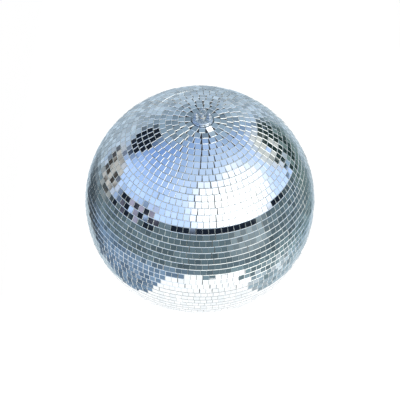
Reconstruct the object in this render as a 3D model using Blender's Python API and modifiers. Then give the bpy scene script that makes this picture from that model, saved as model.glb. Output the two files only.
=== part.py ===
"""Mirror ball, 400 mm, with a swivelling hanging eye.

The ball is a plastic sphere in two halves, covered with belts of glass mirror tiles. Two bolts with
dome nuts hold a metal cap to its top, over a backing plate inside, and an eye turns in a bush under
the cap, so that the ball spins about the vertical axis while the eye stays on its hook.

Metres, +Z up. The origin is the centre of the eye's hole, and the ball hangs below it.
"""

import math

import bmesh
import bpy
from mathutils import Matrix

# Ball and mirror tiles
BALL_DIAMETER = 0.400
TILE_THICKNESS = 0.0015
ADHESIVE_THICKNESS = 0.0005
SHELL_WALL = 0.003
BELTS_PER_HALF = 9
ROWS_PER_BELT = 3
ROW_GAP = 0.0007
FACETS = 40

# Joint between the two halves of the sphere
SEAM_GAP = 0.0003
JOINT_RING_HEIGHT = 0.030
JOINT_RING_WALL = 0.0025

# Boss and plate inside the top of the sphere
BOSS_THICKNESS = 0.007
BOSS_EDGE = 0.004
PLATE_DIAMETER = 0.056
PLATE_THICKNESS = 0.0025

# Hanging eye and its swivel
SHANK_DIAMETER = 0.006
SHANK_TAIL = 0.002
COLLAR_DIAMETER = 0.010
COLLAR_HEIGHT = 0.002
NECK_LENGTH = 0.0024
EYE_BORE = 0.007
EYE_WALL = 0.0035
EYE_THICKNESS = 0.005
EYE_CHAMFER = 0.0006
EYE_WASHER_THICKNESS = 0.001
THRUST_WASHER_THICKNESS = 0.0012
WASHER_RIM = 0.0005
BUSH_WALL = 0.0012
BUSH_FLANGE_RIM = 0.0012
BUSH_FLANGE_THICKNESS = 0.0015
LOCK_NUT_FLATS = 0.010
LOCK_NUT_HEIGHT = 0.006

# Cap, its two bolts and their dome nuts
CAP_HEIGHT = 0.0076
CAP_SHOULDER = 0.0026
CAP_EDGE = 0.0029
CAP_CLEARANCE = 0.0005
BOLT_DIAMETER = 0.005
BOLT_HEAD_FLATS = 0.008
BOLT_HEAD_HEIGHT = 0.0035
BOLT_CLEARANCE = 0.0004
BOLT_END_GAP = 0.0005
DOME_NUT_FLATS = 0.008
DOME_NUT_HEX_HEIGHT = 0.0042
DOME_HEIGHT = 0.0043
DOME_STEP = 0.0003
DOME_NUT_BORE_DEPTH = 0.006

# Fits
SEAT_GAP = 0.0003
RUNNING_CLEARANCE = 0.0001
HOLE_CLEARANCE = 0.0003

# Smoothness of round pieces
ROUND_STEPS = 28
SMALL_STEPS = 20
ARC_STEPS = 5

# The sphere, worked out from the sizes above
BALL_RADIUS = BALL_DIAMETER / 2
SHELL_RADIUS = BALL_RADIUS - TILE_THICKNESS - ADHESIVE_THICKNESS
SHELL_INNER_RADIUS = SHELL_RADIUS - SHELL_WALL

# Radii around the hanging eye
SHANK_RADIUS = SHANK_DIAMETER / 2
BUSH_BORE_RADIUS = SHANK_RADIUS + RUNNING_CLEARANCE
BUSH_RADIUS = BUSH_BORE_RADIUS + BUSH_WALL
BUSH_FLANGE_RADIUS = BUSH_RADIUS + BUSH_FLANGE_RIM
BUSH_HOLE_RADIUS = BUSH_RADIUS + HOLE_CLEARANCE
WASHER_RADIUS = COLLAR_DIAMETER / 2 + WASHER_RIM
LOCK_NUT_CORNER = LOCK_NUT_FLATS / math.sqrt(3)
BOLT_HEAD_CORNER = BOLT_HEAD_FLATS / math.sqrt(3)
DOME_NUT_CORNER = DOME_NUT_FLATS / math.sqrt(3)
EYE_RADIUS = EYE_BORE / 2 + EYE_WALL

# The bolts stand clear of everything on the centre line, and the cap reaches past their nuts
CENTRE_RADIUS = max(WASHER_RADIUS, BUSH_FLANGE_RADIUS, LOCK_NUT_CORNER)
BOLT_OFFSET = CENTRE_RADIUS + BOLT_CLEARANCE + max(BOLT_HEAD_CORNER, DOME_NUT_CORNER)
BOLT_HOLE_RADIUS = BOLT_DIAMETER / 2 + HOLE_CLEARANCE
CAP_RADIUS = BOLT_OFFSET + DOME_NUT_CORNER + CAP_EDGE
POLE_RADIUS = CAP_RADIUS + CAP_CLEARANCE

# Rows of tiles, as angles from the pole
POLE_ANGLE = math.asin(POLE_RADIUS / BALL_RADIUS)
ROWS_PER_HALF = BELTS_PER_HALF * ROWS_PER_BELT
ROW_ANGLE = (math.pi / 2 - POLE_ANGLE) / ROWS_PER_HALF
GAP_ANGLE = ROW_GAP / BALL_RADIUS
BELT_ANGLES = [POLE_ANGLE + ROW_ANGLE * ROWS_PER_BELT * belt for belt in range(BELTS_PER_HALF + 1)]

# Heights above the centre of the ball, from the pole's flat seat up
SEAT_HEIGHT = SHELL_RADIUS * math.cos(POLE_ANGLE)
CAP_BOTTOM = SEAT_HEIGHT + SEAT_GAP
CAP_TOP = CAP_BOTTOM + CAP_HEIGHT
EYE_WASHER_BOTTOM = CAP_TOP + SEAT_GAP
COLLAR_BOTTOM = EYE_WASHER_BOTTOM + EYE_WASHER_THICKNESS + SEAT_GAP
COLLAR_TOP = COLLAR_BOTTOM + COLLAR_HEIGHT
EYE_HEIGHT = COLLAR_TOP + NECK_LENGTH + EYE_RADIUS

# Heights above the centre of the ball, from the pole's flat seat down
BOSS_BOTTOM = SEAT_HEIGHT - BOSS_THICKNESS
PLATE_TOP = BOSS_BOTTOM - SEAT_GAP
PLATE_BOTTOM = PLATE_TOP - PLATE_THICKNESS
BUSH_FLANGE_TOP = PLATE_BOTTOM - SEAT_GAP
BUSH_BOTTOM = BUSH_FLANGE_TOP - BUSH_FLANGE_THICKNESS
THRUST_WASHER_TOP = BUSH_BOTTOM - SEAT_GAP
THRUST_WASHER_BOTTOM = THRUST_WASHER_TOP - THRUST_WASHER_THICKNESS
LOCK_NUT_TOP = THRUST_WASHER_BOTTOM - SEAT_GAP
LOCK_NUT_BOTTOM = LOCK_NUT_TOP - LOCK_NUT_HEIGHT
SHANK_BOTTOM = LOCK_NUT_BOTTOM - SHANK_TAIL
BOLT_HEAD_TOP = PLATE_BOTTOM - SEAT_GAP
BOLT_HEAD_BOTTOM = BOLT_HEAD_TOP - BOLT_HEAD_HEIGHT
DOME_NUT_BOTTOM = CAP_TOP + SEAT_GAP
DOME_NUT_HEX_TOP = DOME_NUT_BOTTOM + DOME_NUT_HEX_HEIGHT
DOME_NUT_BORE_TOP = DOME_NUT_BOTTOM + DOME_NUT_BORE_DEPTH
BOLT_TOP = DOME_NUT_BORE_TOP - BOLT_END_GAP

# The centre of the ball, below the origin at the eye
BALL_CENTRE_Z = -EYE_HEIGHT


# Scene helpers


def clear_scene():
    for thing in list(bpy.data.objects):
        bpy.data.objects.remove(thing, do_unlink=True)


def make_collection(name):
    made = bpy.data.collections.new(name)
    bpy.context.scene.collection.children.link(made)
    return made


def make_empty(name, collection, z):
    empty = bpy.data.objects.new(name, None)
    empty.location = (0, 0, z)
    collection.objects.link(empty)
    return empty


def make_material(name, colour, roughness, metallic):
    material = bpy.data.materials.new(name)
    material.use_nodes = True
    shader = material.node_tree.nodes["Principled BSDF"]
    shader.inputs["Base Color"].default_value = (*colour, 1)
    shader.inputs["Roughness"].default_value = roughness
    shader.inputs["Metallic"].default_value = metallic
    return material


clear_scene()
PARTS = make_collection("mirror_ball")
CUTTERS = make_collection("cutters")

# Both empties stand on the axis that the ball spins about
BALL = make_empty("ball", PARTS, BALL_CENTRE_Z)
HANGER = make_empty("hanger", PARTS, BALL_CENTRE_Z)

MIRROR = make_material("mirror_glass", (0.86, 0.90, 0.92), 0.03, 1.0)
SHELL_PLASTIC = make_material("shell_plastic", (0.10, 0.11, 0.12), 0.6, 0.0)
CAP_METAL = make_material("cap_metal", (0.72, 0.75, 0.78), 0.15, 1.0)
ZINC_STEEL = make_material("zinc_steel", (0.62, 0.64, 0.66), 0.32, 1.0)
BRONZE = make_material("bronze", (0.62, 0.46, 0.24), 0.35, 1.0)
NYLON = make_material("nylon", (0.78, 0.78, 0.74), 0.5, 0.0)


# Shape helpers


def add_object(name, mesh, parent, material):
    """A piece of the object, carried by the empty of the body that it moves with."""
    made = bpy.data.objects.new(name, mesh)
    made.parent = parent
    mesh.materials.append(material)
    PARTS.objects.link(made)
    return made


def add_cutter(name, mesh, parent):
    made = bpy.data.objects.new(name, mesh)
    made.parent = parent
    made.hide_render = True
    made.display_type = "WIRE"
    CUTTERS.objects.link(made)
    return made


def profile_mesh(name, points, closed):
    """Edges through (radius, height) points, in the XZ plane."""
    edges = [(i, i + 1) for i in range(len(points) - 1)]
    if closed:
        edges.append((len(points) - 1, 0))
    mesh = bpy.data.meshes.new(name)
    mesh.from_pydata([(radius, 0, height) for radius, height in points], edges, [])
    return mesh


def add_screw(thing, steps, smooth):
    screw = thing.modifiers.new("Turn", "SCREW")
    screw.steps = screw.render_steps = steps
    screw.use_merge_vertices = True
    screw.merge_threshold = 0.00001
    screw.use_smooth_shade = smooth


def turn(name, points, parent, material, steps=ROUND_STEPS, smooth=True):
    """A turned piece. Its profile runs down the outer side, and closes unless it ends on the axis."""
    on_axis = points[0][0] == 0 and points[-1][0] == 0
    made = add_object(name, profile_mesh(name, points, not on_axis), parent, material)
    add_screw(made, steps, smooth)
    return made


def ring_profile(inner, outer, bottom, top):
    return [(inner, top), (outer, top), (outer, bottom), (inner, bottom)]


def arc(centre, radius, start, end):
    """Points on an arc about a (radius, height) centre, with angles in degrees from the +R side."""
    angles = [math.radians(start + (end - start) * i / ARC_STEPS) for i in range(ARC_STEPS + 1)]
    return [(centre[0] + radius * math.cos(a), centre[1] + radius * math.sin(a)) for a in angles]


def on_sphere(radius, angle):
    """The (radius, height) of a point on a sphere, by its angle from the pole."""
    return (radius * math.sin(angle), radius * math.cos(angle))


def prism_mesh(name, sides, corner_radius, bottom, top, x=0.0):
    bm = bmesh.new()
    bmesh.ops.create_cone(
        bm,
        cap_ends=True,
        segments=sides,
        radius1=corner_radius,
        radius2=corner_radius,
        depth=top - bottom,
        matrix=Matrix.Translation((x, 0, (top + bottom) / 2)),
    )
    mesh = bpy.data.meshes.new(name)
    bm.to_mesh(mesh)
    bm.free()
    return mesh


def box_mesh(name, size, centre):
    bm = bmesh.new()
    placed = Matrix.Translation(centre) @ Matrix.Diagonal((*size, 1))
    bmesh.ops.create_cube(bm, size=1, matrix=placed)
    mesh = bpy.data.meshes.new(name)
    bm.to_mesh(mesh)
    bm.free()
    return mesh


def combine(thing, other, operation):
    boolean = thing.modifiers.new(other.name, "BOOLEAN")
    boolean.operation = operation
    boolean.solver = "EXACT"
    boolean.object = other


def cut_bolt_holes(thing, bottom, top):
    """The two clearance holes for the cap bolts, right through a piece."""
    for side, x in (("left", -BOLT_OFFSET), ("right", BOLT_OFFSET)):
        name = f"{thing.name}_hole_{side}"
        mesh = prism_mesh(name, SMALL_STEPS, BOLT_HOLE_RADIUS, bottom - SEAT_GAP, top + SEAT_GAP, x)
        combine(thing, add_cutter(name, mesh, BALL), "DIFFERENCE")


# Sphere


def make_upper_shell():
    outer = [on_sphere(SHELL_RADIUS, angle) for angle in BELT_ANGLES[:-1]]
    inner = [on_sphere(SHELL_INNER_RADIUS, angle) for angle in BELT_ANGLES[-2:0:-1]]
    boss_radius = PLATE_DIAMETER / 2 + BOSS_EDGE
    points = [(BUSH_HOLE_RADIUS, SEAT_HEIGHT), *outer]
    points += [(SHELL_RADIUS, SEAM_GAP / 2), (SHELL_INNER_RADIUS, SEAM_GAP / 2), *inner]
    points += [(boss_radius, BOSS_BOTTOM), (BUSH_HOLE_RADIUS, BOSS_BOTTOM)]
    shell = turn("upper_shell", points, BALL, SHELL_PLASTIC, FACETS)
    cut_bolt_holes(shell, BOSS_BOTTOM, SEAT_HEIGHT)


def make_lower_shell():
    inner = [on_sphere(SHELL_INNER_RADIUS, math.pi - angle) for angle in BELT_ANGLES[:-1]]
    outer = [on_sphere(SHELL_RADIUS, math.pi - angle) for angle in BELT_ANGLES[-2::-1]]
    points = [(0, inner[0][1]), *inner, (SHELL_INNER_RADIUS, -SEAM_GAP / 2)]
    points += [(SHELL_RADIUS, -SEAM_GAP / 2), *outer, (0, -SEAT_HEIGHT)]
    turn("lower_shell", points, BALL, SHELL_PLASTIC, FACETS)


def make_joint_ring():
    """The band glued inside both halves, with its outside parallel to the shell's inner wall."""
    next_radius, next_height = on_sphere(SHELL_INNER_RADIUS, BELT_ANGLES[-2])
    top = JOINT_RING_HEIGHT / 2
    middle = SHELL_INNER_RADIUS - SEAT_GAP
    rim = middle - (SHELL_INNER_RADIUS - next_radius) * top / next_height
    bore = rim - JOINT_RING_WALL
    points = [(bore, top), (rim, top), (middle, 0), (rim, -top), (bore, -top)]
    turn("equator_joint_ring", points, BALL, SHELL_PLASTIC, FACETS)


# Mirror tiles


def belt_profile(first_angle):
    """A belt's section: one flat for each row of tiles, and a single flat inside, on the adhesive."""
    start = first_angle + GAP_ANGLE / 2
    end = first_angle + ROWS_PER_BELT * ROW_ANGLE - GAP_ANGLE / 2
    inner_radius = SHELL_RADIUS + ADHESIVE_THICKNESS
    between = [first_angle + ROW_ANGLE * row for row in range(1, ROWS_PER_BELT)]
    outer = [on_sphere(BALL_RADIUS, angle) for angle in (start, *between, end)]
    return outer + [on_sphere(inner_radius, angle) for angle in (end, start)]


def make_mirror_belts():
    for belt, angle in enumerate(BELT_ANGLES[:-1], 1):
        lower_angle = math.pi - angle - ROWS_PER_BELT * ROW_ANGLE
        for half, first_angle in (("upper", angle), ("lower", lower_angle)):
            name = f"{half}_mirror_belt_{belt}"
            turn(name, belt_profile(first_angle), BALL, MIRROR, FACETS, smooth=False)


def make_bottom_disc():
    """The round mirror that closes the pattern at the bottom of the ball."""
    top = -SEAT_HEIGHT - ADHESIVE_THICKNESS
    bottom = top - TILE_THICKNESS
    points = [(0, top), (CAP_RADIUS, top), (CAP_RADIUS, bottom), (0, bottom)]
    turn("bottom_mirror_disc", points, BALL, MIRROR)


# Cap and what fastens it


def make_cap():
    bore = BUSH_BORE_RADIUS
    shoulder = (CAP_RADIUS - CAP_SHOULDER, CAP_TOP - CAP_SHOULDER)
    points = [(bore, CAP_TOP), *arc(shoulder, CAP_SHOULDER, 90, 0)]
    points += [(CAP_RADIUS, CAP_BOTTOM), (bore, CAP_BOTTOM)]
    cap = turn("hanger_cap", points, BALL, CAP_METAL)
    cut_bolt_holes(cap, CAP_BOTTOM, CAP_TOP)


def make_cap_bolt(side, x):
    """A bolt from inside the ball, with its hexagon head under the backing plate."""
    name = f"cap_bolt_{side}"
    bolt = add_object(
        name, prism_mesh(name, 6, BOLT_HEAD_CORNER, BOLT_HEAD_BOTTOM, BOLT_HEAD_TOP, x), BALL, ZINC_STEEL
    )
    middle = (BOLT_HEAD_TOP + BOLT_HEAD_BOTTOM) / 2
    shank = prism_mesh(f"{name}_shank", SMALL_STEPS, BOLT_DIAMETER / 2, middle, BOLT_TOP, x)
    combine(bolt, add_cutter(f"{name}_shank", shank, BALL), "UNION")


def make_dome_nut(side, x):
    """A blind nut on the cap: a hexagon with a domed end, bored from below."""
    name = f"dome_nut_{side}"
    nut = add_object(
        name, prism_mesh(name, 6, DOME_NUT_CORNER, DOME_NUT_BOTTOM, DOME_NUT_HEX_TOP, x), BALL, ZINC_STEEL
    )
    dome_radius = DOME_NUT_FLATS / 2 - DOME_STEP
    middle = (DOME_NUT_HEX_TOP + DOME_NUT_BOTTOM) / 2
    angles = [math.pi / 2 * i / ARC_STEPS for i in range(ARC_STEPS + 1)]
    points = [(dome_radius * math.sin(a), DOME_NUT_HEX_TOP + DOME_HEIGHT * math.cos(a)) for a in angles]
    points += [(dome_radius, middle), (0, middle)]
    dome = add_cutter(f"{name}_dome", profile_mesh(f"{name}_dome", points, False), BALL)
    dome.location.x = x
    add_screw(dome, SMALL_STEPS, True)
    combine(nut, dome, "UNION")
    bore_bottom = DOME_NUT_BOTTOM - SEAT_GAP
    bore = prism_mesh(f"{name}_bore", SMALL_STEPS, BOLT_HOLE_RADIUS, bore_bottom, DOME_NUT_BORE_TOP, x)
    combine(nut, add_cutter(f"{name}_bore", bore, BALL), "DIFFERENCE")


def make_cap_fasteners():
    for side, x in (("left", -BOLT_OFFSET), ("right", BOLT_OFFSET)):
        make_cap_bolt(side, x)
        make_dome_nut(side, x)


def make_backing_plate():
    points = ring_profile(BUSH_HOLE_RADIUS, PLATE_DIAMETER / 2, PLATE_BOTTOM, PLATE_TOP)
    plate = turn("backing_plate", points, BALL, ZINC_STEEL)
    cut_bolt_holes(plate, PLATE_BOTTOM, PLATE_TOP)


# Swivel


def make_bush():
    points = [(BUSH_BORE_RADIUS, SEAT_HEIGHT), (BUSH_RADIUS, SEAT_HEIGHT)]
    points += [(BUSH_RADIUS, BUSH_FLANGE_TOP), (BUSH_FLANGE_RADIUS, BUSH_FLANGE_TOP)]
    points += [(BUSH_FLANGE_RADIUS, BUSH_BOTTOM), (BUSH_BORE_RADIUS, BUSH_BOTTOM)]
    turn("swivel_bush", points, BALL, BRONZE)


def make_eye():
    """The eye, its neck, collar and shank, forged as one. Its hole lies along Y."""
    collar = COLLAR_DIAMETER / 2
    neck_top = EYE_HEIGHT - EYE_BORE / 2 - EYE_WALL / 2
    neck_radius = EYE_THICKNESS / 2 - EYE_CHAMFER
    points = [(0, neck_top), (neck_radius, neck_top), (neck_radius, COLLAR_TOP + NECK_LENGTH / 2)]
    points += [(SHANK_RADIUS, COLLAR_TOP), (collar, COLLAR_TOP), (collar, COLLAR_BOTTOM)]
    points += [(SHANK_RADIUS, COLLAR_BOTTOM), (SHANK_RADIUS, SHANK_BOTTOM), (0, SHANK_BOTTOM)]
    eye = turn("swivel_eye", points, HANGER, ZINC_STEEL)

    half, chamfer = EYE_THICKNESS / 2, EYE_CHAMFER
    bore = EYE_BORE / 2
    loop = [(bore + chamfer, half), (EYE_RADIUS - chamfer, half), (EYE_RADIUS, half - chamfer)]
    loop += [(EYE_RADIUS, chamfer - half), (EYE_RADIUS - chamfer, -half), (bore + chamfer, -half)]
    loop += [(bore, chamfer - half), (bore, half - chamfer)]
    ring = add_cutter("eye_loop", profile_mesh("eye_loop", loop, True), HANGER)
    add_screw(ring, ROUND_STEPS, True)
    ring.location.z = EYE_HEIGHT
    ring.rotation_euler.x = math.pi / 2
    combine(eye, ring, "UNION")


def make_washers():
    top = EYE_WASHER_BOTTOM + EYE_WASHER_THICKNESS
    bore = SHANK_RADIUS + HOLE_CLEARANCE
    turn("eye_washer", ring_profile(bore, WASHER_RADIUS, EYE_WASHER_BOTTOM, top), HANGER, NYLON)
    points = ring_profile(bore, BUSH_FLANGE_RADIUS, THRUST_WASHER_BOTTOM, THRUST_WASHER_TOP)
    turn("thrust_washer", points, HANGER, ZINC_STEEL)


def make_lock_nut():
    body = prism_mesh("lock_nut", 6, LOCK_NUT_CORNER, LOCK_NUT_BOTTOM, LOCK_NUT_TOP)
    nut = add_object("lock_nut", body, HANGER, ZINC_STEEL)
    bottom, top = LOCK_NUT_BOTTOM - SEAT_GAP, LOCK_NUT_TOP + SEAT_GAP
    bore = prism_mesh("lock_nut_bore", SMALL_STEPS, SHANK_RADIUS + HOLE_CLEARANCE, bottom, top)
    combine(nut, add_cutter("lock_nut_bore", bore, HANGER), "DIFFERENCE")


make_upper_shell()
make_lower_shell()
make_joint_ring()
make_mirror_belts()
make_bottom_disc()
make_cap()
make_cap_fasteners()
make_backing_plate()
make_bush()
make_eye()
make_washers()
make_lock_nut()
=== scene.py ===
import math

import bmesh
import bpy
import numpy as np
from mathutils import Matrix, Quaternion, Vector


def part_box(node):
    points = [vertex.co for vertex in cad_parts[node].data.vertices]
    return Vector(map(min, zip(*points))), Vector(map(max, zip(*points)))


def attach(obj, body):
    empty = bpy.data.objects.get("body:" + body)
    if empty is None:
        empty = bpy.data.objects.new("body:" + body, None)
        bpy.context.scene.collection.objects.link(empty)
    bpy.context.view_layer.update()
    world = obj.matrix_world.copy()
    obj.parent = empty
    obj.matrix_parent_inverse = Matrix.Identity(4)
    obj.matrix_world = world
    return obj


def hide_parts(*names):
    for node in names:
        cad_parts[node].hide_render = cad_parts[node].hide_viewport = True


# Mirror ball: square glass tiles in level rows on a dark shell, a bright cap, dome nuts and an eye.
# Metres, +Z up, the origin in the middle of the eye's hole.

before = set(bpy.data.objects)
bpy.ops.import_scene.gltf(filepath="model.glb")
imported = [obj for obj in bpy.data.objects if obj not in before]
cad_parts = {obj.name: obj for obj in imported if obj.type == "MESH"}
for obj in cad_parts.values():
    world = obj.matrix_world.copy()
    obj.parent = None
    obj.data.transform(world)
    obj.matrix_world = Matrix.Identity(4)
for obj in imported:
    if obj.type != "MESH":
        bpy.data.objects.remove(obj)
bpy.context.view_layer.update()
scene = bpy.context.scene
scene.view_settings.view_transform = "Standard"

mm = 0.001
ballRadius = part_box("upper_mirror_belt_9")[1].x
ballZ = (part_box("upper_mirror_belt_9")[1].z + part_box("lower_mirror_belt_9")[0].z) / 2
ballCentre = np.array([0.0, 0.0, ballZ])
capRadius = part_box("hanger_cap")[1].x
print("frame loaded, ball radius", round(ballRadius, 4))


# camera

cameraSettings = {
    "radiiAway": 14.0,  # distance to the ball's middle, in ball radii
    "elevation": 47.9,  # degrees above level
    "roll": 1.8,  # degrees
    "ballPixels": 114.8,  # radius of the ball in the image
    "imagePixels": 400,
    "sensorWidth": 36.0,  # millimetres
}


def placeCamera():
    s = cameraSettings
    data = bpy.data.cameras.new("photoCamera")
    focalPixels = s["ballPixels"] * math.sqrt(s["radiiAway"] ** 2 - 1)
    data.sensor_width = s["sensorWidth"]
    data.lens = data.sensor_width * focalPixels / s["imagePixels"]
    camera = bpy.data.objects.new("photoCamera", data)
    scene.collection.objects.link(camera)
    up = math.radians(s["elevation"])
    away = Vector((0, -math.cos(up), math.sin(up)))
    roll = Quaternion((0, 0, 1), math.radians(s["roll"]))
    camera.location = Vector(ballCentre) + away * s["radiiAway"] * ballRadius
    camera.rotation_mode = "QUATERNION"
    camera.rotation_quaternion = away.to_track_quat("Z", "Y") @ roll
    scene.camera = camera


placeCamera()
print("camera placed")


# node helpers: plug sets or links a socket, and each of the others adds nodes and gives back the output

def plug(tree, target, value):
    if isinstance(value, bpy.types.NodeSocket):
        tree.links.new(value, target)
    else:
        target.default_value = value


def calc(tree, operation, first, second=0.0):
    made = tree.nodes.new("ShaderNodeMath")
    made.operation = operation
    plug(tree, made.inputs[0], first)
    plug(tree, made.inputs[1], second)
    return made.outputs[0]


def times(tree, first, *others):
    for other in others:
        first = calc(tree, "MULTIPLY", first, other)
    return first


def blendColour(tree, factor, first, second):
    made = tree.nodes.new("ShaderNodeMix")
    made.data_type = "RGBA"
    plug(tree, made.inputs[0], factor)
    for socket, colour in ((made.inputs[6], first), (made.inputs[7], second)):
        plug(tree, socket, colour if isinstance(colour, bpy.types.NodeSocket) else (*colour, 1.0))
    return made.outputs[2]


def scaled(tree, colour, factor):
    made = tree.nodes.new("ShaderNodeVectorMath")
    made.operation = "SCALE"
    plug(tree, made.inputs[0], colour)
    plug(tree, made.inputs["Scale"], factor)
    return made.outputs[0]


def ease(tree, value, low, high, start=0.0, end=1.0):
    # start up to low, end past high, and a smooth step between
    made = tree.nodes.new("ShaderNodeMapRange")
    made.interpolation_type = "SMOOTHSTEP"
    for socket, number in zip(made.inputs, (value, low, high, start, end)):
        plug(tree, socket, number)
    return made.outputs[0]


def noise(tree, vector, scale, detail=3.0, roughness=0.55):
    made = tree.nodes.new("ShaderNodeTexNoise")
    for name, value in (("Vector", vector), ("Scale", scale), ("Detail", detail), ("Roughness", roughness)):
        plug(tree, made.inputs[name], value)
    return made.outputs["Fac"]


def bump(tree, height, distance, strength):
    made = tree.nodes.new("ShaderNodeBump")
    for name, value in (("Strength", strength), ("Distance", distance), ("Height", height)):
        plug(tree, made.inputs[name], value)
    return made.outputs["Normal"]


def splitVector(tree, vector):
    made = tree.nodes.new("ShaderNodeSeparateXYZ")
    plug(tree, made.inputs[0], vector)
    return made.outputs


def towards(tree, direction, lobe):
    # 1 within the lobe's inner angle, 0 past its outer one
    azimuth, elevation, inner, outer = (math.radians(angle) for angle in lobe)
    level = math.cos(elevation)
    middle = (level * math.sin(azimuth), -level * math.cos(azimuth), math.sin(elevation))
    made = tree.nodes.new("ShaderNodeVectorMath")
    made.operation = "DOT_PRODUCT"
    plug(tree, made.inputs[0], direction)
    plug(tree, made.inputs[1], middle)
    return ease(tree, made.outputs["Value"], math.cos(outer), math.cos(inner))


def inEither(tree, direction, lobes):
    # the greater of two lobes
    return calc(tree, "MAXIMUM", *(towards(tree, direction, lobe) for lobe in lobes))


# studio: a white surround for the camera, and a soft sky and ground for the mirrors to show

# A lobe is an azimuth (0 in front, 90 on the right), an elevation, an inner and an outer angle, in degrees.
# Heights and sides are those of a direction of length 1, and an edge is where a noise turns from 0 to 1.
nearBlack = (0.012, 0.018, 0.030)
skySettings = {
    "low": (0.590, 0.800, 1.190),
    "high": (0.150, 0.300, 0.680),
    "bright": (0.460, 0.640, 0.900),
    "glow": (1.700, 1.700, 1.680),
    "core": (2.400, 2.380, 2.320),
    "rise": (0.27, 1.0),  # heights between which low turns to high
    "brightLobe": (45, 35, 20, 100),
    "veilLobe": (40, 30, 15, 85),
    "veilShare": 0.16,
    "glowLobes": ((24, 36, 8, 35), (60, 36, 8, 36)),
    "coreLobe": (46, 27, 5, 23),
}


def skyColours(tree, direction, height):
    # paler low down and to the right, with a white glow over the right front
    s = skySettings
    high = blendColour(tree, towards(tree, direction, s["brightLobe"]), s["high"], s["bright"])
    sky = blendColour(tree, ease(tree, height, *s["rise"]), s["low"], high)
    veil = times(tree, towards(tree, direction, s["veilLobe"]), s["veilShare"])
    sky = blendColour(tree, veil, sky, s["glow"])
    sky = blendColour(tree, inEither(tree, direction, s["glowLobes"]), sky, s["glow"])
    return blendColour(tree, towards(tree, direction, s["coreLobe"]), sky, s["core"])


groundSettings = {
    "far": (0.125, 0.178, 0.205),
    "pale": (0.280, 0.345, 0.375),
    "nearLeft": (0.175, 0.260, 0.370),
    "farRight": (0.190, 0.275, 0.300),
    "nearRight": (0.400, 0.510, 0.575),
    "speckle": (0.660, 0.740, 0.790),
    "paleLobe": (48, 0, 6, 27),
    "speckleLobe": (72, -54, 8, 22),
    "speckleScale": 23.0,
    "speckleEdge": (0.46, 0.54),
    "sides": (-0.3, 0.3),  # where left turns to right
    "rightFall": (-0.62, -0.84),  # heights between which far turns to near on the right
    "nearFall": (-0.40, -0.56),  # heights between which far turns to near
    "mottleScale": 12.0,
    "mottle": (0.30, 0.70, 0.66, 1.34),  # noise from and to, shade from and to
}


def groundColours(tree, direction, x, z):
    # mottled grey with a pale patch, bluer close by and speckled on the right
    s = groundSettings
    grain = ease(tree, noise(tree, direction, s["speckleScale"], detail=1.0), *s["speckleEdge"])
    speckle = times(tree, towards(tree, direction, s["speckleLobe"]), grain)
    right = blendColour(tree, ease(tree, z, *s["rightFall"]), s["farRight"], s["nearRight"])
    right = blendColour(tree, speckle, right, s["speckle"])
    near = blendColour(tree, ease(tree, x, *s["sides"]), s["nearLeft"], right)
    far = blendColour(tree, towards(tree, direction, s["paleLobe"]), s["far"], s["pale"])
    ground = blendColour(tree, ease(tree, z, *s["nearFall"]), far, near)
    return scaled(tree, ground, ease(tree, noise(tree, direction, s["mottleScale"]), *s["mottle"]))


horizonSettings = {
    "haze": (0.380, 0.370, 0.500),
    "foot": (-0.090, -0.075),
    "top": (0.035, 0.020),
    "back": (0.3, 0.0),  # how far behind the ball the line ends
    "wholeLobes": ((8, 17, 28, 34), (95, 2, 11, 17)),  # where the line has no breaks
    "wholeShare": 0.3,
    "breakScale": 5.0,
    "breakEdge": (0.48, 0.52),
    "raggedLobe": (-66, 6, 18, 32),
    "raggedFoot": (-0.14, -0.10),
    "raggedTop": (0.25, 0.18),
    "raggedScale": 9.0,
    "raggedEdge": (0.43, 0.47),
    "tintScale": 7.0,
    "tintEdge": (0.52, 0.60),
}


def horizonLine(tree, colour, direction, height, y):
    # dark and unbroken in front and for a stretch on the right, in patches elsewhere, ragged on the left
    s = horizonSettings
    whole = times(tree, inEither(tree, direction, s["wholeLobes"]), s["wholeShare"])
    patch = calc(tree, "ADD", noise(tree, direction, s["breakScale"], detail=2.0), whole)
    line = times(tree, ease(tree, height, *s["foot"]), ease(tree, height, *s["top"]))
    line = times(tree, line, ease(tree, patch, *s["breakEdge"]), ease(tree, y, *s["back"]))
    colour = blendColour(tree, line, colour, nearBlack)
    ragged = times(tree, ease(tree, height, *s["raggedFoot"]), ease(tree, height, *s["raggedTop"]))
    scraps = ease(tree, noise(tree, direction, s["raggedScale"], detail=2.0), *s["raggedEdge"])
    ragged = times(tree, ragged, towards(tree, direction, s["raggedLobe"]), scraps)
    tint = ease(tree, noise(tree, direction, s["tintScale"], detail=1.0), *s["tintEdge"])
    return blendColour(tree, ragged, colour, blendColour(tree, tint, nearBlack, s["haze"]))


backSettings = {
    "low": (0.464, 0.567, 0.659),
    "high": (0.265, 0.362, 0.452),
    "shade": (0.060, 0.078, 0.092),
    "spot": (2.600, 2.600, 2.550),
    "rim": (0.580, 0.690, 0.760),
    "turn": 9.0,  # how far the middle of the back lies to the left, in degrees
    "leastLevel": 0.01,  # keeps the quotient sound straight up and down
    "edge": (0.50, 0.85),  # level cosines from the middle, at the outside and the inside of the edge
    "rise": (0.1, 0.6),  # heights between which low turns to high
    "foot": (-0.90, -0.70),
    "top": (0.97, 0.88),
    "mottleScale": 15.0,
    "mottle": (0.35, 0.65, 0.74, 1.26),  # noise from and to, shade from and to
    "shadeLobe": (-127, -37, 6, 21),
    "spotLobe": (168, 57.5, 1.5, 4.8),
    "rimLobes": ((150, -54, 10, 18), (158, -33, 8, 14), (-150, -54, 10, 18)),
}


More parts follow.
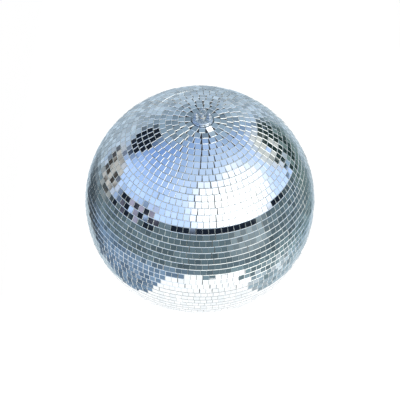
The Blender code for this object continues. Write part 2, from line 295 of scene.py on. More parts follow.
def backColours(tree, colour, direction, x, y, z):
    # a mottled stretch behind the ball, then a shaded patch, a small bright spot and three light patches;
    # behind is the cosine of the level angle from the middle of the back
    s = backSettings
    turn = math.radians(s["turn"])
    level = calc(tree, "SQRT", calc(tree, "SUBTRACT", 1.0, times(tree, z, z)))
    behind = calc(tree, "SUBTRACT", times(tree, y, math.cos(turn)), times(tree, x, math.sin(turn)))
    behind = calc(tree, "DIVIDE", behind, calc(tree, "MAXIMUM", level, s["leastLevel"]))
    back = blendColour(tree, ease(tree, z, *s["rise"]), s["low"], s["high"])
    back = scaled(tree, back, ease(tree, noise(tree, direction, s["mottleScale"]), *s["mottle"]))
    share = times(tree, ease(tree, behind, *s["edge"]), ease(tree, z, *s["foot"]), ease(tree, z, *s["top"]))
    colour = blendColour(tree, share, colour, back)
    colour = blendColour(tree, towards(tree, direction, s["shadeLobe"]), colour, s["shade"])
    colour = blendColour(tree, towards(tree, direction, s["spotLobe"]), colour, s["spot"])
    for lobe in s["rimLobes"]:
        colour = blendColour(tree, towards(tree, direction, lobe), colour, s["rim"])
    return colour


clusterSettings = {
    "brown": (0.060, 0.055, 0.050),
    "beige": (0.560, 0.550, 0.520),
    "green": (0.170, 0.250, 0.240),
    "pale": (0.660, 0.690, 0.660),
    "dapple": (0.022, 0.045, 0.043),
    "coarseScale": 11.0,
    "fineScale": 31.0,
    "darkLobe": (-125, 30, 11, 17),
    "darkEdge": (0.33, 0.39),
    "earthLobe": (-112, 1, 9, 20),
    "earthEdge": (0.45, 0.53),
    "greenLobe": (134, -8, 8, 24),
    "paleLobe": (124, 22, 10, 20),
    "paleEdge": (0.36, 0.44),
    "dappleLobe": (130, 7, 16, 24),
    "dappleEdge": (0.49, 0.45),
    "denseLobes": ((136, 14, 7, 15), (137, -11, 7, 15)),  # where the dapple is thickest
    "denseShare": 0.20,
}


def sideClusters(tree, colour, direction):
    # speckled shapes either side: a dense dark one, an earthy one, and a dark dapple over green and pale
    s = clusterSettings
    coarse = noise(tree, direction, s["coarseScale"], detail=2.0)
    fine = noise(tree, direction, s["fineScale"], detail=1.0)
    dark = times(tree, towards(tree, direction, s["darkLobe"]), ease(tree, coarse, *s["darkEdge"]))
    colour = blendColour(tree, dark, colour, nearBlack)
    earth = blendColour(tree, ease(tree, fine, *s["earthEdge"]), s["brown"], s["beige"])
    colour = blendColour(tree, towards(tree, direction, s["earthLobe"]), colour, earth)
    colour = blendColour(tree, towards(tree, direction, s["greenLobe"]), colour, s["green"])
    pale = times(tree, towards(tree, direction, s["paleLobe"]), ease(tree, coarse, *s["paleEdge"]))
    colour = blendColour(tree, pale, colour, s["pale"])
    dense = times(tree, inEither(tree, direction, s["denseLobes"]), s["denseShare"])
    dapple = ease(tree, calc(tree, "SUBTRACT", fine, dense), *s["dappleEdge"])
    dapple = times(tree, towards(tree, direction, s["dappleLobe"]), dapple)
    return blendColour(tree, dapple, colour, s["dapple"])


studioSettings = {
    "lean": (17.2, 2.0, 0.0),  # how far the reflected horizon leans, in degrees
    "rises": (((93, 3, 12, 34), 0.07), ((-42, 12, 12, 34), 0.024)),  # lobes where it is higher, by what
    "meet": (-0.015, 0.015),  # heights between which ground turns to sky
    "fill": 0.68,  # light on rough surfaces
    "whiteForCamera": 1.0,
}


def buildWorld():
    # plain white for the camera, an even fill for rough surfaces, and the surround for mirrors
    s = studioSettings
    world = bpy.data.worlds.new("studio")
    scene.world = world
    world.use_nodes = True
    tree = world.node_tree
    tree.nodes.clear()
    direction = tree.nodes.new("ShaderNodeTexCoord").outputs["Generated"]
    lean = tree.nodes.new("ShaderNodeVectorRotate")
    lean.rotation_type = "EULER_XYZ"
    plug(tree, lean.inputs["Vector"], direction)
    lean.inputs["Rotation"].default_value = [math.radians(angle) for angle in s["lean"]]
    x, y, z = splitVector(tree, direction)
    height = splitVector(tree, lean.outputs[0])[2]
    for lobe, rise in s["rises"]:
        height = calc(tree, "SUBTRACT", height, times(tree, towards(tree, direction, lobe), rise))

    sky = skyColours(tree, direction, height)
    ground = groundColours(tree, direction, x, z)
    colour = blendColour(tree, ease(tree, height, *s["meet"]), ground, sky)
    colour = horizonLine(tree, colour, direction, height, y)
    colour = backColours(tree, colour, direction, x, y, z)
    colour = sideClusters(tree, colour, direction)

    rays = tree.nodes.new("ShaderNodeLightPath").outputs
    seen = calc(tree, "MAXIMUM", rays["Is Camera Ray"], rays["Is Transmission Ray"])
    plain = tree.nodes.new("ShaderNodeBackground")
    plain.inputs["Color"].default_value = (1, 1, 1, 1)
    plug(tree, plain.inputs["Strength"], ease(tree, seen, 0.0, 1.0, s["fill"], s["whiteForCamera"]))
    surround = tree.nodes.new("ShaderNodeBackground")
    plug(tree, surround.inputs["Color"], colour)
    pick = tree.nodes.new("ShaderNodeMixShader")
    plug(tree, pick.inputs[0], rays["Is Glossy Ray"])
    plug(tree, pick.inputs[1], plain.outputs[0])
    plug(tree, pick.inputs[2], surround.outputs[0])
    output = tree.nodes.new("ShaderNodeOutputWorld")
    plug(tree, output.inputs["Surface"], pick.outputs[0])


lampSettings = {"place": (0.95, -2.03, 1.47), "size": 2.0, "power": 59.0}


def addLamp():
    # a round softbox, aimed at the ball's middle, which the mirrors don't show
    s = lampSettings
    data = bpy.data.lights.new("softbox", "AREA")
    data.shape = "DISK"
    data.size = s["size"]
    data.energy = s["power"]
    lamp = bpy.data.objects.new("softbox", data)
    lamp.location = s["place"]
    lamp.rotation_mode = "QUATERNION"
    lamp.rotation_quaternion = (Vector(s["place"]) - Vector(ballCentre)).to_track_quat("Z", "Y")
    lamp.visible_glossy = False
    scene.collection.objects.link(lamp)


buildWorld()
addLamp()
print("studio lit")


# mesh helpers

meshSettings = {"sharpAngle": 32.0, "mergeWithin": 1e-7}


def gridFaces(rows, columns, wrapRows=False, wrapColumns=True):
    # quads between neighbouring points of a rows x columns grid
    i = np.arange(rows if wrapRows else rows - 1)[:, None]
    j = np.arange(columns if wrapColumns else columns - 1)[None, :]
    nextI, nextJ = (i + 1) % rows, (j + 1) % columns
    corners = (i * columns + j, i * columns + nextJ, nextI * columns + nextJ, nextI * columns + j)
    return np.stack(corners, -1).reshape(-1, 4)


def shadeSmooth(mesh, sharpAngle):
    mesh.shade_smooth()
    mesh.set_sharp_from_angle(angle=math.radians(sharpAngle))


def closedMesh(name, points, faces, sharpAngle=meshSettings["sharpAngle"]):
    # poles and seams are merged, and faces turned outwards
    mesh = bpy.data.meshes.new(name)
    mesh.from_pydata(points.reshape(-1, 3).tolist(), [], faces.tolist())
    work = bmesh.new()
    work.from_mesh(mesh)
    bmesh.ops.remove_doubles(work, verts=work.verts, dist=meshSettings["mergeWithin"])
    bmesh.ops.recalc_face_normals(work, faces=work.faces)
    work.to_mesh(mesh)
    work.free()
    shadeSmooth(mesh, sharpAngle)
    return mesh


def addPiece(mesh, body, slotName, *materials):
    piece = bpy.data.objects.new(mesh.name, mesh)
    scene.collection.objects.link(piece)
    for material in materials:
        mesh.materials.append(material)
    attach(piece, body)
    return piece


def roundedLine(points, radii, steps):
    # each corner C is eased from A to B, a radius before and after it: A(1-s)^2 + 2Cs(1-s) + Bs^2
    s = np.linspace(0, 1, steps)[:, None]
    line = [np.array(points[:1], float)]
    for before, corner, after, radius in zip(points, points[1:], points[2:], radii):
        before, corner, after = (np.array(point, float) for point in (before, corner, after))
        start = corner + (before - corner) / np.linalg.norm(before - corner) * radius
        end = corner + (after - corner) / np.linalg.norm(after - corner) * radius
        line.append(start * (1 - s) ** 2 + 2 * corner * s * (1 - s) + end * s**2)
    line.append(np.array(points[-1:], float))
    return np.concatenate(line)


def turned(profile, steps, wrap=False, x=0.0):
    # the profile (r, z) carried round the axis: (x + r cos t, r sin t, z)
    t = np.arange(steps) * 2 * math.pi / steps
    r, z = profile[:, :1], profile[:, 1:]
    points = np.stack([x + r * np.cos(t), r * np.sin(t), z + 0 * t], -1)
    return points, gridFaces(len(profile), steps, wrap)


def joined(first, second, operation):
    # Boolean of two meshes, as a new mesh in place of both
    keeper = bpy.data.objects.new("keeper", first)
    cutter = bpy.data.objects.new("cutter", second)
    for piece in (keeper, cutter):
        scene.collection.objects.link(piece)
    modifier = keeper.modifiers.new("join", "BOOLEAN")
    modifier.operation = operation
    modifier.object = cutter
    evaluated = keeper.evaluated_get(bpy.context.evaluated_depsgraph_get())
    result = bpy.data.meshes.new_from_object(evaluated)
    for piece in (keeper, cutter):
        bpy.data.objects.remove(piece)
    for mesh in (first, second):
        bpy.data.meshes.remove(mesh)
    shadeSmooth(result, meshSettings["sharpAngle"])
    return result


# materials: colours run from low to high with a noise, and so does the roughness

noiseSpan = (0.3, 0.7)  # most of a noise lies between these
productSpan = (0.1, 0.45)  # and most of the product of two


def newFinish(name, metallic=0.0):
    material = bpy.data.materials.new(name)
    material.use_nodes = True
    tree = material.node_tree
    shader = tree.nodes["Principled BSDF"]
    shader.inputs["Metallic"].default_value = metallic
    place = tree.nodes.new("ShaderNodeTexCoord").outputs["Object"]
    return material, tree, shader.inputs, place


mirrorSettings = {
    "low": (0.87, 0.90, 0.92),
    "high": (0.93, 0.95, 0.96),
    "smearScale": 34.0,
    "darkTile": (0.74, 0.79, 0.83),
    "lightTile": (0.98, 0.99, 1.0),
    "toneShare": 0.6,
    "rim": (0.42, 0.46, 0.47),
    "rimEdge": (0.455, 0.495),  # from the middle of a face that is 1 wide
    "rimShare": 0.45,
    "polishScale": 90.0,
    "polishSpan": (0.35, 0.8),
    "rough": (0.012, 0.06),
}


def mirrorGlass(name, tiled):
    # silvered glass with faint smears; a tile is also a little lighter or darker, with a dulled rim
    s = mirrorSettings
    material, tree, sockets, place = newFinish(name, metallic=1.0)
    smear = ease(tree, noise(tree, place, s["smearScale"], detail=4.0), *noiseSpan)
    colour = blendColour(tree, smear, s["low"], s["high"])
    if tiled:
        tone = tree.nodes.new("ShaderNodeAttribute")
        tone.attribute_name = "tileTone"
        shade = blendColour(tree, tone.outputs["Fac"], s["darkTile"], s["lightTile"])
        colour = blendColour(tree, s["toneShare"], colour, shade)
        onFace = tree.nodes.new("ShaderNodeUVMap")
        onFace.uv_map = "tileFace"
        u, v, _ = splitVector(tree, onFace.outputs[0])
        fromMiddle = [calc(tree, "ABSOLUTE", calc(tree, "SUBTRACT", part, 0.5)) for part in (u, v)]
        rim = ease(tree, calc(tree, "MAXIMUM", *fromMiddle), *s["rimEdge"])
        colour = blendColour(tree, times(tree, rim, s["rimShare"]), colour, s["rim"])
    polish = noise(tree, place, s["polishScale"], detail=5.0)
    plug(tree, sockets["Base Color"], colour)
    plug(tree, sockets["Roughness"], ease(tree, polish, *s["polishSpan"], *s["rough"]))
    return material


def cutGlass(name, metallic, low, high, rough):
    # the ground edge of a tile: pale, slightly green, finely chipped
    material, tree, sockets, place = newFinish(name, metallic)
    chips = noise(tree, place, scale=700.0)
    plug(tree, sockets["Base Color"], blendColour(tree, chips, low, high))
    plug(tree, sockets["Roughness"], ease(tree, chips, *noiseSpan, *rough))
    plug(tree, sockets["Normal"], bump(tree, chips, distance=0.12 * mm, strength=0.4))
    return material


def darkPlastic(name, low, high, mottleScale, rough=(0.42, 0.68), timesFiner=9):
    # near-black moulded plastic or adhesive, mottled, with a grain that is many times finer
    material, tree, sockets, place = newFinish(name)
    mottle = noise(tree, place, mottleScale, detail=4.0)
    grain = noise(tree, place, mottleScale * timesFiner, detail=2.0)
    plug(tree, sockets["Base Color"], blendColour(tree, mottle, low, high))
    plug(tree, sockets["Roughness"], ease(tree, mottle, *noiseSpan, *rough))
    plug(tree, sockets["Normal"], bump(tree, grain, distance=0.2 * mm, strength=0.4))
    return material


def metal(name, low, high, rough, scratch):
    # plated or bare metal: cloudy shade, with fine scratches in the polish
    material, tree, sockets, place = newFinish(name, metallic=1.0)
    cloudy = noise(tree, place, scale=160.0, detail=4.0)
    fine = noise(tree, place, scale=1400.0, detail=2.0)
    plug(tree, sockets["Base Color"], blendColour(tree, ease(tree, cloudy, *noiseSpan), low, high))
    plug(tree, sockets["Roughness"], ease(tree, times(tree, fine, cloudy), *productSpan, *rough))
    plug(tree, sockets["Normal"], bump(tree, fine, distance=scratch, strength=0.35))
    return material


def mouldedNylon(name, low, high, rough):
    # faintly cloudy nylon between the two colours given
    material, tree, sockets, place = newFinish(name)
    cloudy = noise(tree, place, scale=300.0)
    plug(tree, sockets["Base Color"], blendColour(tree, cloudy, low, high))
    plug(tree, sockets["Roughness"], ease(tree, cloudy, *noiseSpan, *rough))
    return material


tileMirror = mirrorGlass("tile_mirror", tiled=True)
discMirror = mirrorGlass("disc_mirror", tiled=False)
bevelMirror = cutGlass("bevel_mirror", 1.0, (0.84, 0.89, 0.88), (0.96, 0.97, 0.97), (0.06, 0.16))
cutEdge = cutGlass("cut_edge", 0.0, (0.84, 0.89, 0.88), (0.96, 0.98, 0.97), (0.22, 0.42))
bedDark = darkPlastic("bed_dark", (0.010, 0.012, 0.016), (0.030, 0.034, 0.042), 220.0)
shellDark = darkPlastic("shell_dark", (0.014, 0.015, 0.017), (0.036, 0.038, 0.042), 120.0)
capSatin = metal("cap_satin", (0.58, 0.63, 0.67), (0.70, 0.75, 0.79), (0.22, 0.34), 0.02 * mm)
nutBright = metal("nut_bright", (0.60, 0.64, 0.67), (0.74, 0.78, 0.80), (0.34, 0.46), 0.02 * mm)
zincPlate = metal("zinc_plate", (0.56, 0.60, 0.62), (0.72, 0.76, 0.78), (0.30, 0.44), 0.03 * mm)
bushBronze = metal("bush_bronze", (0.50, 0.34, 0.15), (0.64, 0.47, 0.25), (0.26, 0.42), 0.04 * mm)
# the washer is off-white nylon, darkened here to a mid grey as painted shade
shadedWasherNylon = mouldedNylon("nylon", (0.50, 0.50, 0.46), (0.64, 0.64, 0.60), (0.38, 0.55))
print("materials made")


# mirror tiles

tileSettings = {
    "width": 10.0 * mm,
    "height": 10.6 * mm,
    "thickness": 1.5 * mm,
    "bevel": (0.33 * mm, 0.40 * mm, 0.31 * mm),  # in from the side, in from the upper row edge, down
    "lowerBevel": 0.34 * mm,  # in from the lower row edge
    "arris": (0.06 * mm, 0.10 * mm, 0.22 * mm),  # the steeper step outside the bevel
    "pitch": 10.1 * mm,  # least room for one tile along the narrow edge of its row
    "seam": 0.8 * mm,  # wider joint where two strips of tiles meet
    "seamDrift": -9.0,  # degrees that the front seam moves, from the pole to the equator
    "seamGap": 13.0,  # degrees between the two seams at the front
    "seamSpread": 2.5,  # degrees, by chance from row to row
    "seams": 4,
    "rowsPerBelt": 3,
    "beltsPerHalf": 9,
    "poleGap": 0.5 * mm,  # from the cap to the first row
    "slide": 0.10 * mm,
    "lift": 0.05 * mm,
    "turn": 0.45,  # degrees, in the tile's own plane
    "tilt": 0.35,  # degrees, each tile by itself
    "rowTilt": 0.38,  # degrees, slowly along the row
    "rowWaves": (2, 16),  # waves round the row, from and below
    "waveCount": 4,
    "oddShare": 0.016,
    "oddTilt": 3.0,  # degrees, on a few odd tiles
    "seed": 20,
}
corners = np.array([(1, 1), (-1, 1), (-1, -1), (1, -1)], float)
poleAngle = math.asin((capRadius + tileSettings["poleGap"]) / ballRadius)
rowsPerHalf = tileSettings["rowsPerBelt"] * tileSettings["beltsPerHalf"]
rowAngle = (math.pi / 2 - poleAngle) / rowsPerHalf


def tileShape():
    # a square slab in layers: a face, a flat bevel round it, a steeper arris and a straight wall
    s = tileSettings
    outer = np.array([s["width"] / 2, s["height"] / 2, -s["arris"][2] - s["bevel"][2]])
    middle = outer + (-s["arris"][0], -s["arris"][1], s["arris"][2])
    inner = middle + (-s["bevel"][0], -s["bevel"][1], s["bevel"][2])
    layers = np.stack([inner, middle, outer, (outer[0], outer[1], -s["thickness"])])
    signs = np.column_stack([corners, np.ones(4)])
    points = layers[:, None] * signs
    # the two lower corners of the face
    points[0, 2:, 1] = s["lowerBevel"] + s["arris"][1] - s["height"] / 2
    points = points.reshape(-1, 3)
    ring = np.arange(4)
    after = (ring + 1) % 4
    rim = np.stack([ring, ring + 4, after + 4, after], -1)
    faces = np.concatenate([ring[None, :], rim, rim + 4, rim + 8, ring[None, ::-1] + 12])
    return points, faces


mapSettings = {
    "reach": (0.30, 0.33, 0.36),  # half widths of the face, the bevel and the arris, in a cell 1 wide
    "wall": 0.10,
    "backReach": 0.04,
    "backPlace": -0.44,
}


def tileMaps():
    # the slab folded flat in a unit cell: the face in the middle, bevel, arris and walls round it,
    # and the back in a corner; a second map has the face alone, from 0 to 1
    s = mapSettings
    after = np.roll(corners, -1, axis=0)
    out = (corners + after) / 2 * s["wall"]
    steps = zip(s["reach"], s["reach"][1:])
    rims = [np.stack([corners * a, corners * b, after * b, after * a], 1) for a, b in steps]
    edge, edgeAfter = corners * s["reach"][-1], after * s["reach"][-1]
    side = np.stack([edge, edge + out, edgeAfter + out, edgeAfter], 1)
    back = corners[::-1] * s["backReach"] + s["backPlace"]
    flat = np.concatenate([[corners * s["reach"][0]], *rims, side, [back]]) + 0.5
    face = np.full(flat.shape, 0.5)
    face[0] = corners * 0.5 + 0.5
    return flat.reshape(-1, 2), face.reshape(-1, 2)


def rowAzimuths(rng, row, narrow, lower):
    # tiles at even steps round the row, from the front, plus the room that the seams before each one take;
    # two seams lie at the front and the others by chance, and the row next to the cap has none
    s = tileSettings
    front = rng.uniform(0, 2 * math.pi) if lower else -math.pi / 2
    if row == 0:
        count = round(2 * math.pi * narrow / s["pitch"])
        return front + np.arange(count) * 2 * math.pi / count
    count = math.floor((2 * math.pi * narrow - s["seams"] * s["seam"]) / s["pitch"])
    second = round(count * s["seamGap"] / 360)
    elsewhere = rng.integers(second + 2, count, s["seams"] - 2)
    room = np.zeros(count)
    np.add.at(room, np.concatenate([[0, second], elsewhere]), s["seam"] / narrow)
    step = (2 * math.pi - room.sum()) / count
    drift = s["seamDrift"] * (row / rowsPerHalf) ** 2 + rng.uniform(-s["seamSpread"], s["seamSpread"])
    return front + math.radians(drift) + np.cumsum(room) - room[0] / 2 + (np.arange(count) + 0.5) * step


def tilePlaces(rng, belt, lower):
    # rows lie at equal steps of the polar angle, and a row takes as many tiles as its narrow edge holds;
    # with each tile go two sums of slow sine waves round the row, for its lean
    s = tileSettings
    found = []
    for row in range(belt * s["rowsPerBelt"], (belt + 1) * s["rowsPerBelt"]):
        polar = poleAngle + (row + 0.5) * rowAngle
        narrow = ballRadius * math.sin(polar - rowAngle / 2)
        azimuth = rowAzimuths(rng, row, narrow, lower)
        waves = rng.integers(*s["rowWaves"], (2, s["waveCount"], 1))
        phases = rng.uniform(0, 2 * math.pi, (2, s["waveCount"], 1))
        slow = np.sin(waves * azimuth + phases).sum(1) / math.sqrt(s["waveCount"] / 2)
        level = np.full(len(azimuth), math.pi - polar if lower else polar)
        found.append(np.column_stack([level, azimuth, slow.T]))
    return np.concatenate(found)


def tilePoints(shape, places, rng):
    # each slab stands on the ball's normal at its place, a little shifted, turned and tilted
    s = tileSettings
    polar, azimuth = places[:, 0], places[:, 1]
    count = len(places)
    level = np.column_stack([np.cos(azimuth), np.sin(azimuth), np.zeros(count)])
    normal = level * np.sin(polar)[:, None] + np.outer(np.cos(polar), (0, 0, 1))
    east = np.cross((0, 0, 1), level)
    north = np.cross(normal, east)
    odd = rng.random((count, 1)) < s["oddShare"]
    tilt = rng.normal(0, s["tilt"], (count, 2)) + places[:, 2:] * s["rowTilt"]
    tilt = np.radians(tilt + odd * rng.normal(0, s["oddTilt"], (count, 2)))
    slide = rng.uniform(-s["slide"], s["slide"], (count, 2))
    lift = rng.normal(0, s["lift"], (count, 1)).clip(-2 * s["lift"], 2 * s["lift"])
    middle = math.sqrt(ballRadius**2 - (s["width"] ** 2 + s["height"] ** 2) / 4) + lift
    centre = ballCentre + normal * middle + east * slide[:, :1] + north * slide[:, 1:]
    facing = normal + east * tilt[:, :1] + north * tilt[:, 1:]
    facing /= np.linalg.norm(facing, axis=1, keepdims=True)
    turn = np.radians(rng.normal(0, s["turn"], (count, 1)))
    along = east * np.cos(turn) + north * np.sin(turn)
    along -= facing * (along * facing).sum(1, keepdims=True)
    along /= np.linalg.norm(along, axis=1, keepdims=True)
    axes = np.stack([along, np.cross(facing, along), facing], 1)
    return centre[:, None, :] + np.einsum("vk,tkc->tvc", shape, axes)


def makeTiles(half, belt):
    s = tileSettings
    rng = np.random.default_rng([s["seed"], half == "lower", belt])
    shape, faces = tileShape()
    places = tilePlaces(rng, belt, half == "lower")
    points = tilePoints(shape, places, rng)
    count = len(places)
    mesh = bpy.data.meshes.new(f"{half}_tiles_{belt + 1}")
    allFaces = faces[None] + np.arange(count)[:, None, None] * len(shape)
    mesh.from_pydata(points.reshape(-1, 3).tolist(), [], allFaces.reshape(-1, 4).tolist())
    piece = addPiece(mesh, "ball", "mirror_glass", tileMirror, bevelMirror, cutEdge)
    # one mirror face, four bevels, and the rest cut glass
    finish = np.repeat((0, 1, 2), (1, 4, len(faces) - 5)).astype(np.int32)
    mesh.polygons.foreach_set("material_index", np.tile(finish, count))
    tone = mesh.attributes.new("tileTone", "FLOAT", "FACE")
    tone.data.foreach_set("value", np.repeat(rng.random(count), len(faces)).astype(np.float32))
    # each tile's flat map has its own cell of a square sheet
    flat, face = tileMaps()
    across = math.ceil(math.sqrt(count))
    cell = np.column_stack(np.divmod(np.arange(count), across))
    flat = (cell[:, None] + flat) / across
    for name, coordinates in (("tileFace", np.tile(face, (count, 1))), ("OFBake", flat)):
        layer = mesh.uv_layers.new(name=name)
        layer.data.foreach_set("uv", coordinates.astype(np.float32).ravel())
    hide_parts(f"{half}_mirror_belt_{belt + 1}")
    return count


tileCount = 0
for half in ("upper", "lower"):
    for belt in range(tileSettings["beltsPerHalf"]):
        tileCount += makeTiles(half, belt)
print("tiles laid:", tileCount)


# adhesive bed under the tiles, and the round mirror at the bottom

bedSettings = {"outer": 198.30 * mm, "inner": 198.06 * mm, "clear": 0.15 * mm, "steps": 180, "rows": 90}


def makeBed():
    # two spheres, z = R cos a and r = R sin a, joined at their rims round the poles
    s = bedSettings
    first = math.asin((capRadius + s["clear"]) / s["inner"])
    a = np.linspace(first, math.pi - first, s["rows"])
    outer = np.column_stack([np.sin(a), np.cos(a)]) * s["outer"]
    inner = np.column_stack([np.sin(a), np.cos(a)])[::-1] * s["inner"]
    profile = np.concatenate([outer, inner]) + (0, ballZ)
    mesh = closedMesh("adhesive_bed", *turned(profile, s["steps"], wrap=True))
    addPiece(mesh, "ball", "shell_plastic", bedDark)


discSettings = {"edge": 0.7 * mm, "backEdge": 0.1 * mm, "steps": 96, "edgeSteps": 4}


def makeDisc():
    # a flat disc's profile with a ground edge, turned round the axis
    s = discSettings
    low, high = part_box("bottom_mirror_disc")
    outline = [(0, low.z), (high.x, low.z), (high.x, high.z), (0, high.z)]
    profile = roundedLine(outline, (s["edge"], s["backEdge"]), s["edgeSteps"])
    mesh = closedMesh("bottom_disc_ground", *turned(profile, s["steps"]))
    piece = addPiece(mesh, "ball", "mirror_glass", discMirror)
    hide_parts("bottom_mirror_disc")


makeBed()
makeDisc()
print("bed and bottom disc made")


# cap, dome nuts and eye

capSettings = {
    "shoulder": 2.6 * mm,
    "foot": 0.5 * mm,
    "bore": 3.1 * mm,
    "boltHole": 2.8 * mm,
    "past": 2.0 * mm,  # how far the drill stands out at both faces
    "steps": 128,
    "edgeSteps": 10,
    "holeSteps": 32,
}


def makeCap():
    # a ring's profile with a rounded foot and shoulder, turned round the axis, then drilled for the bolts
    s = capSettings
    low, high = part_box("hanger_cap")
    outline = [(s["bore"], low.z), (high.x, low.z), (high.x, high.z), (s["bore"], high.z)]
    profile = roundedLine(outline, (s["foot"], s["shoulder"]), s["edgeSteps"])
    cap = closedMesh("hanger_cap_turned", *turned(profile, s["steps"], wrap=True))
    bottom, top = low.z - s["past"], high.z + s["past"]
    hole = np.array([(0, bottom), (s["boltHole"], bottom), (s["boltHole"], top), (0, top)])
    for side in ("left", "right"):
        boltLow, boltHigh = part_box(f"cap_bolt_{side}")
        x = (boltLow.x + boltHigh.x) / 2
        cap = joined(cap, closedMesh("hole", *turned(hole, s["holeSteps"], x=x)), "DIFFERENCE")
    cap.name = "hanger_cap_turned"
    piece = addPiece(cap, "ball", "cap_metal", capSatin)
    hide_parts("hanger_cap")


nutSettings = {
    "hexHeight": 4.2 * mm,
    "bore": 2.8 * mm,
    "boreDepth": 6.0 * mm,
    "domeRadius": 3.5 * mm,
    "collar": 0.5 * mm,  # upright stretch between the hexagon and the dome
    "faceShare": 0.95,  # radius of the end faces, as a share of half the width across flats
    "chamfers": (0.35 * mm, 0.45 * mm),  # how far the corners are cut, at the foot and at the top
    "steps": 96,
    "domeSteps": 16,
    "sharpAngle": 24.0,
}


def makeNut(side):
    # the radius at each height is the hexagon's, kept within a round limit: bore, chamfers and dome
    s = nutSettings
    low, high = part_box(f"dome_nut_{side}")
    flat, corner = (high.x - low.x) / 2, (high.y - low.y) / 2
    hexTop = low.z + s["hexHeight"]
    domeFoot = hexTop + s["collar"]
    boreTop = low.z + s["boreDepth"]
    a = np.linspace(0, math.pi / 2, s["domeSteps"])
    dome = np.column_stack([s["domeRadius"] * np.cos(a), domeFoot + (high.z - domeFoot) * np.sin(a)])
    rows = [(0, boreTop), (s["bore"], boreTop), (s["bore"], low.z), (flat * s["faceShare"], low.z)]
    rows += [(corner, low.z + s["chamfers"][0]), (corner, hexTop - s["chamfers"][1])]
    rows += [(flat * s["faceShare"], hexTop), (s["domeRadius"], hexTop)]
    limit = np.concatenate([rows, dome])
    t = np.arange(s["steps"]) * 2 * math.pi / s["steps"]
    sixth = math.pi / 3
    hexagon = flat / np.cos((t + sixth / 2) % sixth - sixth / 2)
    r = np.minimum(limit[:, :1], hexagon)
    x = (low.x + high.x) / 2
    points = np.stack([x + r * np.cos(t), r * np.sin(t), limit[:, 1:] + 0 * t], -1)
    faces = gridFaces(len(limit), s["steps"])
    mesh = closedMesh(f"dome_nut_{side}_formed", points, faces, s["sharpAngle"])
    piece = addPiece(mesh, "ball", "zinc_steel", nutBright)
    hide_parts(f"dome_nut_{side}")


eyeSettings = {
    "bore": 3.5 * mm,
    "wall": 3.5 * mm,
    "thickness": 5.0 * mm,
    "squareness": 3.0,  # 2 is a round section, more is squarer
    "neck": 1.9 * mm,
    "flare": 1.3 * mm,  # height over which the neck widens to the shank
    "shank": 3.0 * mm,
    "collar": 5.0 * mm,
    "collarTop": -9.4 * mm,
    "collarBottom": -11.4 * mm,
    "rounding": (0.1, 0.6, 0.4, 0.4, 0.3, 0.2, 0.5),  # at the stem's corners from the top, in millimetres
    "steps": 112,
    "sectionSteps": 36,
    "stemSteps": 64,
    "edgeSteps": 5,
}


def eyeLoop():
    # a superellipse section carried round the hole: |r/a|^n + |y/b|^n = 1
    s = eyeSettings
    power = 2 / s["squareness"]
    v = np.arange(s["sectionSteps"]) * 2 * math.pi / s["sectionSteps"]
    across = np.sign(np.cos(v)) * np.abs(np.cos(v)) ** power * s["wall"] / 2
    along = np.sign(np.sin(v)) * np.abs(np.sin(v)) ** power * s["thickness"] / 2
    t = (np.arange(s["steps"]) * 2 * math.pi / s["steps"])[:, None]
    r = s["bore"] + s["wall"] / 2 + across
    points = np.stack([r * np.cos(t), along + 0 * t, r * np.sin(t)], -1)
    return closedMesh("loop", points, gridFaces(s["steps"], s["sectionSteps"], wrapRows=True))


def makeEye():
    # the loop joined to a stem, whose profile of neck, collar and shank is turned round the axis
    s = eyeSettings
    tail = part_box("swivel_eye")[0].z
    neckTop = -s["bore"] - s["wall"] / 2
    top, bottom = s["collarTop"], s["collarBottom"]
    outline = [(0, neckTop), (s["neck"], neckTop), (s["neck"], top + s["flare"]), (s["shank"], top)]
    outline += [(s["collar"], top), (s["collar"], bottom), (s["shank"], bottom)]
    outline += [(s["shank"], tail), (0, tail)]
    profile = roundedLine(outline, [each * mm for each in s["rounding"]], s["edgeSteps"])
    stem = closedMesh("stem", *turned(profile, s["stemSteps"]))
    mesh = joined(eyeLoop(), stem, "UNION")
    mesh.name = "swivel_eye_forged"
    piece = addPiece(mesh, "hanger", "zinc_steel", zincPlate)
    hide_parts("swivel_eye")


washerSettings = {"bore": 3.2 * mm, "edge": 0.25 * mm, "steps": 64, "edgeSteps": 5}


def makeWasher():
    # a ring's profile with rounded outer edges, turned round the axis
    s = washerSettings
    low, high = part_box("eye_washer")
    outline = [(s["bore"], low.z), (high.x, low.z), (high.x, high.z), (s["bore"], high.z)]
    profile = roundedLine(outline, (s["edge"], s["edge"]), s["edgeSteps"])
    mesh = closedMesh("eye_washer_moulded", *turned(profile, s["steps"], wrap=True))
    piece = addPiece(mesh, "hanger", "nylon", shadedWasherNylon)
    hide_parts("eye_washer")


makeCap()
for side in ("left", "right"):
    makeNut(side)
makeEye()
makeWasher()
print("cap, nuts and eye made")


# finishes of the pieces that keep their own shape

finishes = {
    "upper_shell": shellDark,
    "lower_shell": shellDark,
    "equator_joint_ring": shellDark,
    "backing_plate": zincPlate,
    "cap_bolt_left": zincPlate,
    "cap_bolt_right": zincPlate,
    "thrust_washer": zincPlate,
    "lock_nut": zincPlate,
    "swivel_bush": bushBronze,
}
for name, finish in finishes.items():
    for slot in bpy.data.objects[name].material_slots:
        slot.material = finish
print("finishes set")


# floor

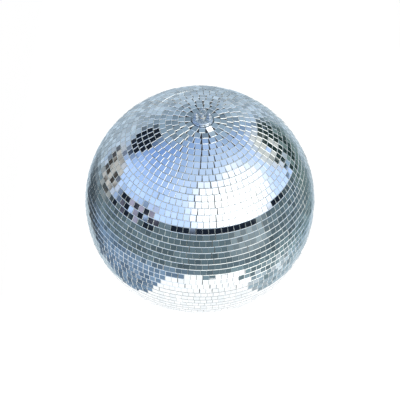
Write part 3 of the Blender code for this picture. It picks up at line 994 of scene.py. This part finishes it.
floorSettings = {
    "drop": 1.1,  # below the ball's middle
    "front": -1.86,
    "back": 1.9,
    "middle": 0.04,  # how far it lies to the right
    "half": 0.53,
    "flare": 0.47,  # how much wider it is at the front
    "shift": 0.17,  # how much further to the right the front lies
    "bow": 0.50,  # how far the front corners are drawn back
    "frontPower": 1.6,
    "white": (0.3, 0.3, 0.3),
    "roughness": 0.9,
    "glow": 0.84,
    "steps": 48,
}


def makeFloor():
    # a flat sheet with a bowed, wider front: x = middle + shift f + u (half + flare f), y = y + bow u^2 f,
    # with f a power of the share of the way from the ball to the front
    s = floorSettings
    u = np.linspace(-1, 1, s["steps"])[None, :]
    y = np.linspace(s["front"], s["back"], s["steps"])[:, None]
    f = np.clip(y / s["front"], 0, 1) ** s["frontPower"]
    x = s["middle"] + s["shift"] * f + u * (s["half"] + s["flare"] * f)
    points = np.stack([x, y + s["bow"] * u**2 * f, np.full(x.shape, ballZ - s["drop"])], -1)
    faces = gridFaces(s["steps"], s["steps"], wrapColumns=False)
    mesh = bpy.data.meshes.new("floor")
    mesh.from_pydata(points.reshape(-1, 3).tolist(), [], faces.tolist())
    floor = bpy.data.objects.new("floor", mesh)
    scene.collection.objects.link(floor)
    material, tree, sockets, _ = newFinish("floor_white")
    sockets["Base Color"].default_value = (*s["white"], 1)
    sockets["Roughness"].default_value = s["roughness"]
    sockets["Specular IOR Level"].default_value = 0.0
    sockets["Emission Color"].default_value = (1, 1, 1, 1)
    sockets["Emission Strength"].default_value = s["glow"]
    # clear from underneath, so that nothing hides the ball from below
    pick = tree.nodes.new("ShaderNodeMixShader")
    plug(tree, pick.inputs[0], tree.nodes.new("ShaderNodeNewGeometry").outputs["Backfacing"])
    plug(tree, pick.inputs[1], tree.nodes["Principled BSDF"].outputs[0])
    plug(tree, pick.inputs[2], tree.nodes.new("ShaderNodeBsdfTransparent").outputs[0])
    plug(tree, tree.nodes["Material Output"].inputs["Surface"], pick.outputs[0])
    mesh.materials.append(material)


makeFloor()
print("floor laid")
